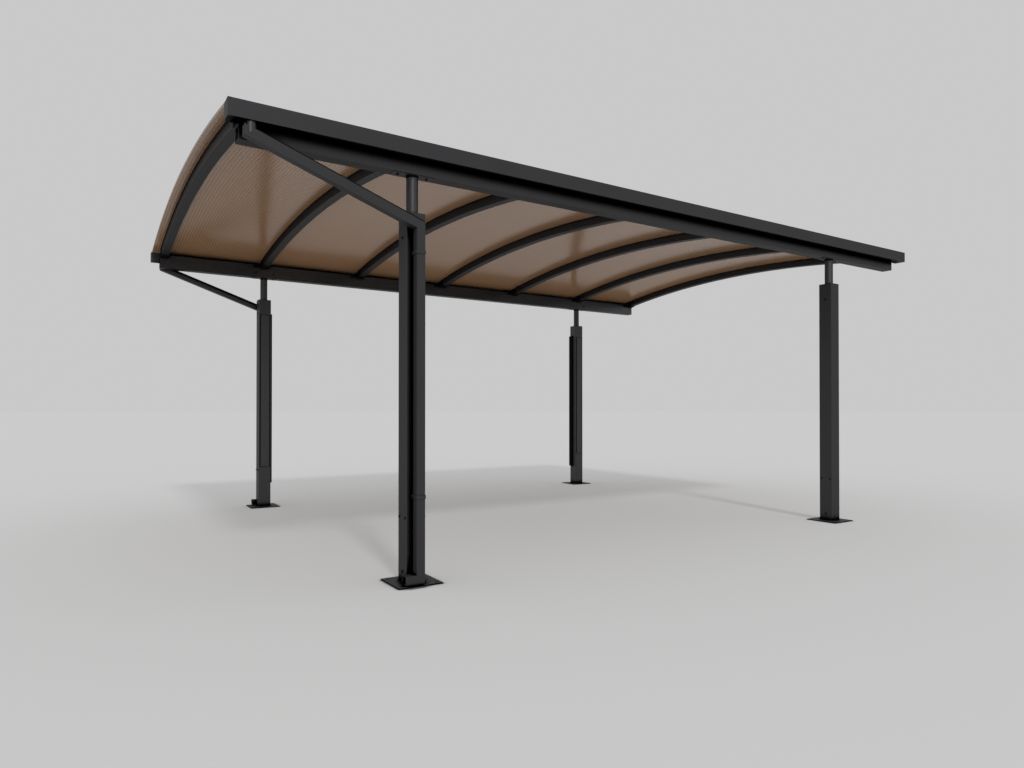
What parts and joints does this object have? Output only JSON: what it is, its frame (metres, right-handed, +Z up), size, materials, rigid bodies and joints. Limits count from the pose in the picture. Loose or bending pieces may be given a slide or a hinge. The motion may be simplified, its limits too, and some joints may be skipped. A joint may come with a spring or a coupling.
{
  "type": "carport",
  "caption": "Open carport with a shallow arched roof of bronze multiwall sheet on grey ribs, beams with gutters and downpipes, and height-adjustable square posts",
  "frame": {"origin": "middle of the footprint, on the level that the four base plates stand on", "axes": "+X along the gutters and beams, away from the end with the downpipes; +Y across the width, from the near side to the far side; +Z up"},
  "size_m": [5.235, 3.372, 2.2853],
  "materials": {
    "frame": "fine matt powder coat in dark grey",
    "base_plate": "powder-coated steel plate in dark grey",
    "stub": "smooth dark grey coat on round tube",
    "gutter": "dark grey coated folded metal",
    "downpipe": "dark grey coated rectangular pipe",
    "rail": "dark grey coated strip",
    "rib_shoe": "black moulded rubber, matt",
    "bumper": "black rubber strip, matt",
    "roof_panel": "bronze-tinted translucent multiwall sheet with fine flutes"
  },
  "bodies": {
    "root": {"near_left_plate": "base_plate", "near_right_plate": "base_plate", "far_left_plate": "base_plate", "far_right_plate": "base_plate", "near_left_post": "frame", "near_right_post": "frame", "far_left_post": "frame", "far_right_post": "frame", "near_left_stub": "stub", "near_right_stub": "stub", "far_left_stub": "stub", "far_right_stub": "stub", "near_beam": "frame", "far_beam": "frame", "near_gutter": "gutter", "far_gutter": "gutter", "near_rib_shoes": "rib_shoe", "far_rib_shoes": "rib_shoe", "rib_1": "frame", "rib_2": "frame", "rib_3": "frame", "rib_4": "frame", "rib_5": "frame", "rib_6": "frame", "rib_7": "frame", "panel_1": "roof_panel", "panel_2": "roof_panel", "panel_3": "roof_panel", "panel_4": "roof_panel", "panel_5": "roof_panel", "panel_6": "roof_panel", "cover_strips": "frame", "near_outlet": "downpipe", "far_outlet": "downpipe", "near_slope_pipe": "downpipe", "far_slope_pipe": "downpipe", "near_drop_pipe": "downpipe", "far_drop_pipe": "downpipe", "near_outfall": "downpipe", "far_outfall": "downpipe", "near_pipe_clips": "downpipe", "far_pipe_clips": "downpipe", "far_left_bumper": "bumper", "far_right_bumper": "bumper", "near_left_rail": "rail", "near_right_rail": "rail", "far_left_rail": "rail", "far_right_rail": "rail"}
  },
  "joints": []
}
